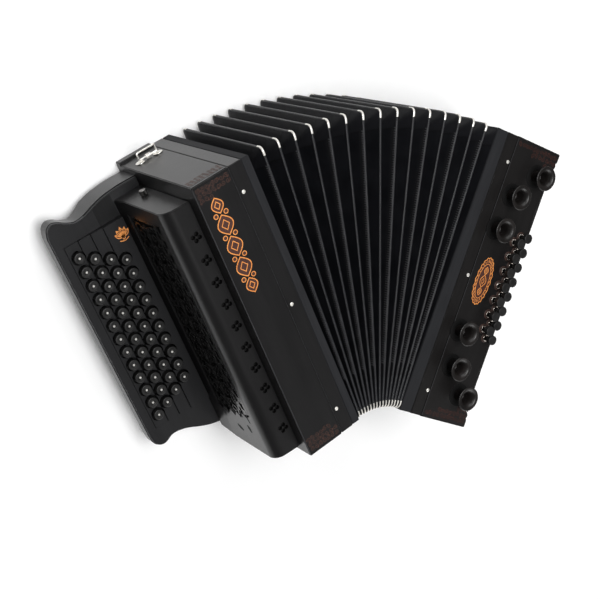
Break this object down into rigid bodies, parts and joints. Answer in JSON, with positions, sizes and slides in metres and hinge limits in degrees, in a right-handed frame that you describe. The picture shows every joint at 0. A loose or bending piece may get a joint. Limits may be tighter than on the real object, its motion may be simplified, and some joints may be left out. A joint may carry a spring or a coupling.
{
  "type": "button accordion",
  "caption": "Diatonic button accordion with fanned bellows, stepped round-button fingerboard, pierced grille cover, bass horns and bass buttons.",
  "frame": {"origin": "centre of the bounding box on the plane of the back faces, on which the instrument lies", "axes": "+Z out of the front of the instrument, +Y towards its top end along the middle of the fan, +X from the treble box to the bass box"},
  "size_m": [0.6194, 0.4078, 0.2102],
  "materials": {
    "stained_wood": "black stained wood, satin lacquer",
    "bellows_rim": "dark grey covered wood, satin",
    "bellows_card": "black card and cloth, matte",
    "fretwork": "pierced black veneer, satin",
    "key_wood": "black stained wood, satin lacquer",
    "button_black": "black, polished",
    "horn_black": "black, polished",
    "nickel": "nickel plated",
    "strap_leather": "black leather",
    "reed_board": "bare spruce"
  },
  "bodies": {
    "treble": {"treble_case": "stained_wood", "treble_frame": "stained_wood", "treble_bellows_rim": "bellows_rim", "treble_reed_board": "reed_board", "grille_cover": "stained_wood", "grille_fretwork": "fretwork", "fingerboard_base": "key_wood", "fingerboard_strips": "key_wood", "grille_thumb_screw": "nickel", "strap_bracket_top": "nickel", "strap_bracket_bottom": "nickel"},
    "strap_loop_top": {"strap_loop_top": "nickel"},
    "strap_loop_bottom": {"strap_loop_bottom": "nickel"},
    "treble_row_1": {"treble_buttons_row_1": "button_black"},
    "treble_row_2": {"treble_buttons_row_2": "button_black"},
    "treble_row_3": {"treble_buttons_row_3": "button_black"},
    "treble_row_4": {"treble_buttons_row_4": "button_black"},
    "fold_01": {"bellows_fold_01": "bellows_card"},
    "fold_02": {"bellows_fold_02": "bellows_card"},
    "fold_03": {"bellows_fold_03": "bellows_card"},
    "fold_04": {"bellows_fold_04": "bellows_card"},
    "fold_05": {"bellows_fold_05": "bellows_card"},
    "fold_06": {"bellows_fold_06": "bellows_card"},
    "fold_07": {"bellows_fold_07": "bellows_card"},
    "fold_08": {"bellows_fold_08": "bellows_card"},
    "fold_09": {"bellows_fold_09": "bellows_card"},
    "fold_10": {"bellows_fold_10": "bellows_card"},
    "fold_11": {"bellows_fold_11": "bellows_card"},
    "fold_12": {"bellows_fold_12": "bellows_card"},
    "fold_13": {"bellows_fold_13": "bellows_card"},
    "fold_14": {"bellows_fold_14": "bellows_card"},
    "fold_15": {"bellows_fold_15": "bellows_card"},
    "bass": {"bass_case": "stained_wood", "bass_frame": "stained_wood", "bass_bellows_rim": "bellows_rim", "bass_reed_board": "reed_board", "bass_end_cover": "stained_wood", "hand_strap": "strap_leather", "bass_horn_1": "horn_black", "bass_horn_2": "horn_black", "bass_horn_3": "horn_black", "bass_horn_4": "horn_black", "bass_horn_5": "horn_black", "bass_horn_6": "horn_black"},
    "air_button": {"air_button": "button_black"},
    "bass_button_01": {"bass_button_01": "button_black"},
    "bass_button_02": {"bass_button_02": "button_black"},
    "bass_button_03": {"bass_button_03": "button_black"},
    "bass_button_04": {"bass_button_04": "button_black"},
    "bass_button_05": {"bass_button_05": "button_black"},
    "bass_button_06": {"bass_button_06": "button_black"},
    "bass_button_07": {"bass_button_07": "button_black"},
    "bass_button_08": {"bass_button_08": "button_black"},
    "bass_button_09": {"bass_button_09": "button_black"},
    "bass_button_10": {"bass_button_10": "button_black"},
    "bass_button_11": {"bass_button_11": "button_black"},
    "bass_button_12": {"bass_button_12": "button_black"},
    "bass_button_13": {"bass_button_13": "button_black"},
    "bass_button_14": {"bass_button_14": "button_black"},
    "bass_button_15": {"bass_button_15": "button_black"}
  },
  "joints": [
    {"name": "bellows_gap_01", "type": "hinge", "parent": "treble", "child": "fold_01", "pos_m": [0.01027, -0.16067, 0.095], "axis": [0, 0, -1], "range_deg": [-2.49, 0.5]},
    {"name": "bellows_gap_02", "type": "hinge", "parent": "fold_01", "child": "fold_02", "pos_m": [0.01303, -0.15962, 0.095], "axis": [0, 0, -1], "range_deg": [-2.66, 0.53]},
    {"name": "bellows_gap_03", "type": "hinge", "parent": "fold_02", "child": "fold_03", "pos_m": [0.01678, -0.15838, 0.095], "axis": [0, 0, -1], "range_deg": [-2.8, 0.56]},
    {"name": "bellows_gap_04", "type": "hinge", "parent": "fold_03", "child": "fold_04", "pos_m": [0.02059, -0.15732, 0.095], "axis": [0, 0, -1], "range_deg": [-2.92, 0.59]},
    {"name": "bellows_gap_05", "type": "hinge", "parent": "fold_04", "child": "fold_05", "pos_m": [0.02444, -0.15647, 0.095], "axis": [0, 0, -1], "range_deg": [-3.02, 0.6]},
    {"name": "bellows_gap_06", "type": "hinge", "parent": "fold_05", "child": "fold_06", "pos_m": [0.02834, -0.15581, 0.095], "axis": [0, 0, -1], "range_deg": [-3.09, 0.62]},
    {"name": "bellows_gap_07", "type": "hinge", "parent": "fold_06", "child": "fold_07", "pos_m": [0.03226, -0.15537, 0.095], "axis": [0, 0, -1], "range_deg": [-3.14, 0.63]},
    {"name": "bellows_gap_08", "type": "hinge", "parent": "fold_07", "child": "fold_08", "pos_m": [0.03621, -0.15514, 0.095], "axis": [0, 0, -1], "range_deg": [-3.17, 0.63]},
    {"name": "bellows_gap_09", "type": "hinge", "parent": "fold_08", "child": "fold_09", "pos_m": [0.04016, -0.15513, 0.095], "axis": [0, 0, -1], "range_deg": [-3.17, 0.64]},
    {"name": "bellows_gap_10", "type": "hinge", "parent": "fold_09", "child": "fold_10", "pos_m": [0.0441, -0.15534, 0.095], "axis": [0, 0, -1], "range_deg": [-3.15, 0.63]},
    {"name": "bellows_gap_11", "type": "hinge", "parent": "fold_10", "child": "fold_11", "pos_m": [0.04803, -0.15576, 0.095], "axis": [0, 0, -1], "range_deg": [-3.11, 0.62]},
    {"name": "bellows_gap_12", "type": "hinge", "parent": "fold_11", "child": "fold_12", "pos_m": [0.05193, -0.1564, 0.095], "axis": [0, 0, -1], "range_deg": [-3.05, 0.61]},
    {"name": "bellows_gap_13", "type": "hinge", "parent": "fold_12", "child": "fold_13", "pos_m": [0.05579, -0.15724, 0.095], "axis": [0, 0, -1], "range_deg": [-2.96, 0.59]},
    {"name": "bellows_gap_14", "type": "hinge", "parent": "fold_13", "child": "fold_14", "pos_m": [0.0596, -0.15829, 0.095], "axis": [0, 0, -1], "range_deg": [-2.85, 0.57]},
    {"name": "bellows_gap_15", "type": "hinge", "parent": "fold_14", "child": "fold_15", "pos_m": [0.06335, -0.15951, 0.095], "axis": [0, 0, -1], "range_deg": [-2.72, 0.55]},
    {"name": "bellows_fan", "type": "hinge", "parent": "fold_15", "child": "bass", "pos_m": [0.06611, -0.16057, 0.095], "axis": [0, 0, -1], "range_deg": [-2.56, 0.51]},
    {"name": "treble_row_1_press", "type": "slide", "parent": "treble", "child": "treble_row_1", "axis": [0, 0, -1], "range_m": [0, 0.004], "stiffness_N_per_m": 400, "springref_m": -0.003},
    {"name": "treble_row_2_press", "type": "slide", "parent": "treble", "child": "treble_row_2", "axis": [0, 0, -1], "range_m": [0, 0.004], "stiffness_N_per_m": 400, "springref_m": -0.003},
    {"name": "treble_row_3_press", "type": "slide", "parent": "treble", "child": "treble_row_3", "axis": [0, 0, -1], "range_m": [0, 0.004], "stiffness_N_per_m": 400, "springref_m": -0.003},
    {"name": "treble_row_4_press", "type": "slide", "parent": "treble", "child": "treble_row_4", "axis": [0, 0, -1], "range_m": [0, 0.004], "stiffness_N_per_m": 400, "springref_m": -0.003},
    {"name": "strap_loop_top_swing", "type": "hinge", "parent": "treble", "child": "strap_loop_top", "pos_m": [-0.18052, 0.15294, 0.0405], "axis": [0.9177, 0.3973, 0], "range_deg": [-70, 70]},
    {"name": "strap_loop_bottom_swing", "type": "hinge", "parent": "treble", "child": "strap_loop_bottom", "pos_m": [-0.03463, -0.18403, 0.0405], "axis": [0.9177, 0.3973, 0], "range_deg": [-70, 70]},
    {"name": "bass_button_01_press", "type": "slide", "parent": "bass", "child": "bass_button_01", "axis": [0, 0, -1], "range_m": [0, 0.005], "stiffness_N_per_m": 150, "springref_m": -0.003},
    {"name": "bass_button_02_press", "type": "slide", "parent": "bass", "child": "bass_button_02", "axis": [0, 0, -1], "range_m": [0, 0.005], "stiffness_N_per_m": 150, "springref_m": -0.003},
    {"name": "bass_button_03_press", "type": "slide", "parent": "bass", "child": "bass_button_03", "axis": [0, 0, -1], "range_m": [0, 0.005], "stiffness_N_per_m": 150, "springref_m": -0.003},
    {"name": "bass_button_04_press", "type": "slide", "parent": "bass", "child": "bass_button_04", "axis": [0, 0, -1], "range_m": [0, 0.005], "stiffness_N_per_m": 150, "springref_m": -0.003},
    {"name": "bass_button_05_press", "type": "slide", "parent": "bass", "child": "bass_button_05", "axis": [0, 0, -1], "range_m": [0, 0.005], "stiffness_N_per_m": 150, "springref_m": -0.003},
    {"name": "bass_button_06_press", "type": "slide", "parent": "bass", "child": "bass_button_06", "axis": [0, 0, -1], "range_m": [0, 0.005], "stiffness_N_per_m": 150, "springref_m": -0.003},
    {"name": "bass_button_07_press", "type": "slide", "parent": "bass", "child": "bass_button_07", "axis": [0, 0, -1], "range_m": [0, 0.005], "stiffness_N_per_m": 150, "springref_m": -0.003},
    {"name": "bass_button_08_press", "type": "slide", "parent": "bass", "child": "bass_button_08", "axis": [0, 0, -1], "range_m": [0, 0.005], "stiffness_N_per_m": 150, "springref_m": -0.003},
    {"name": "bass_button_09_press", "type": "slide", "parent": "bass", "child": "bass_button_09", "axis": [0, 0, -1], "range_m": [0, 0.005], "stiffness_N_per_m": 150, "springref_m": -0.003},
    {"name": "bass_button_10_press", "type": "slide", "parent": "bass", "child": "bass_button_10", "axis": [0, 0, -1], "range_m": [0, 0.005], "stiffness_N_per_m": 150, "springref_m": -0.003},
    {"name": "bass_button_11_press", "type": "slide", "parent": "bass", "child": "bass_button_11", "axis": [0, 0, -1], "range_m": [0, 0.005], "stiffness_N_per_m": 150, "springref_m": -0.003},
    {"name": "bass_button_12_press", "type": "slide", "parent": "bass", "child": "bass_button_12", "axis": [0, 0, -1], "range_m": [0, 0.005], "stiffness_N_per_m": 150, "springref_m": -0.003},
    {"name": "bass_button_13_press", "type": "slide", "parent": "bass", "child": "bass_button_13", "axis": [0, 0, -1], "range_m": [0, 0.005], "stiffness_N_per_m": 150, "springref_m": -0.003},
    {"name": "bass_button_14_press", "type": "slide", "parent": "bass", "child": "bass_button_14", "axis": [0, 0, -1], "range_m": [0, 0.005], "stiffness_N_per_m": 150, "springref_m": -0.003},
    {"name": "bass_button_15_press", "type": "slide", "parent": "bass", "child": "bass_button_15", "axis": [0, 0, -1], "range_m": [0, 0.005], "stiffness_N_per_m": 150, "springref_m": -0.003},
    {"name": "air_button_press", "type": "slide", "parent": "bass", "child": "air_button", "axis": [-0.9177, 0.3973, 0], "range_m": [0, 0.005], "stiffness_N_per_m": 300, "springref_m": -0.003}
  ],
  "couplings": [
    {"joint": "bellows_gap_01", "follows": "bellows_fan", "ratio": 0.97327},
    {"joint": "bellows_gap_02", "follows": "bellows_fan", "ratio": 1.0374},
    {"joint": "bellows_gap_03", "follows": "bellows_fan", "ratio": 1.0927},
    {"joint": "bellows_gap_04", "follows": "bellows_fan", "ratio": 1.139},
    {"joint": "bellows_gap_05", "follows": "bellows_fan", "ratio": 1.1764},
    {"joint": "bellows_gap_06", "follows": "bellows_fan", "ratio": 1.2049},
    {"joint": "bellows_gap_07", "follows": "bellows_fan", "ratio": 1.2245},
    {"joint": "bellows_gap_08", "follows": "bellows_fan", "ratio": 1.2352},
    {"joint": "bellows_gap_09", "follows": "bellows_fan", "ratio": 1.237},
    {"joint": "bellows_gap_10", "follows": "bellows_fan", "ratio": 1.2299},
    {"joint": "bellows_gap_11", "follows": "bellows_fan", "ratio": 1.2138},
    {"joint": "bellows_gap_12", "follows": "bellows_fan", "ratio": 1.1889},
    {"joint": "bellows_gap_13", "follows": "bellows_fan", "ratio": 1.155},
    {"joint": "bellows_gap_14", "follows": "bellows_fan", "ratio": 1.1123},
    {"joint": "bellows_gap_15", "follows": "bellows_fan", "ratio": 1.0606}
  ]
}
